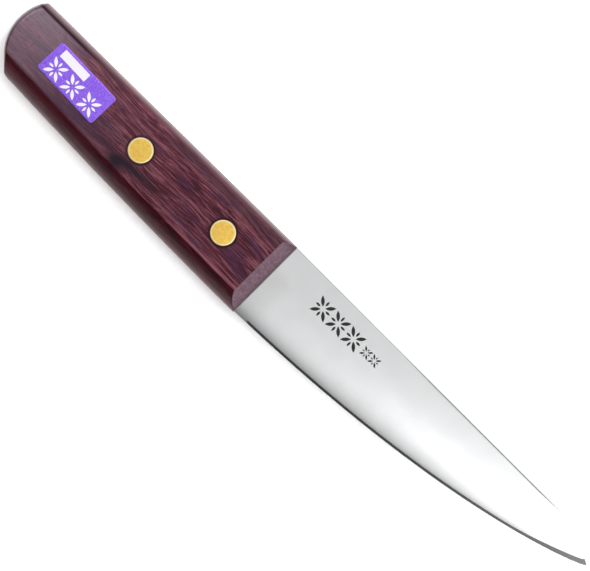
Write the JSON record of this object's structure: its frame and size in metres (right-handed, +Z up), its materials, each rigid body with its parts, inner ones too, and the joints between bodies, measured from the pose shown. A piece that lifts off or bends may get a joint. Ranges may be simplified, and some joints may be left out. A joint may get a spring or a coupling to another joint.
{
  "type": "boning knife",
  "caption": "Fixed-blade boning knife: upswept steel blade on a partial tang, rosewood handle with flush brass rivets, blank label.",
  "frame": {"origin": "middle of the underside of the knife's box as it lies on its side", "axes": "+X along the knife towards the tip, +Y towards the spine, +Z up out of the side that carries the label"},
  "size_m": [0.275, 0.0318, 0.0203],
  "materials": {
    "blade_steel": "satin stainless steel, fine grinding marks, dark etched ornament, sharpened bevel along the edge",
    "rosewood": "dark red-brown rosewood with streaky lengthwise grain under a thin satin varnish",
    "rivet_brass": "sanded flush, faintly domed, lighter rim",
    "label_film": "violet printed film with a fine speckle, a blank white panel and plain white shapes"
  },
  "bodies": {
    "root": {"blade": "blade_steel", "handle": "rosewood", "kerf_filler": "rosewood", "front_rivet_male": "rivet_brass", "front_rivet_female": "rivet_brass", "rear_rivet_male": "rivet_brass", "rear_rivet_female": "rivet_brass", "handle_label": "label_film"}
  },
  "joints": []
}
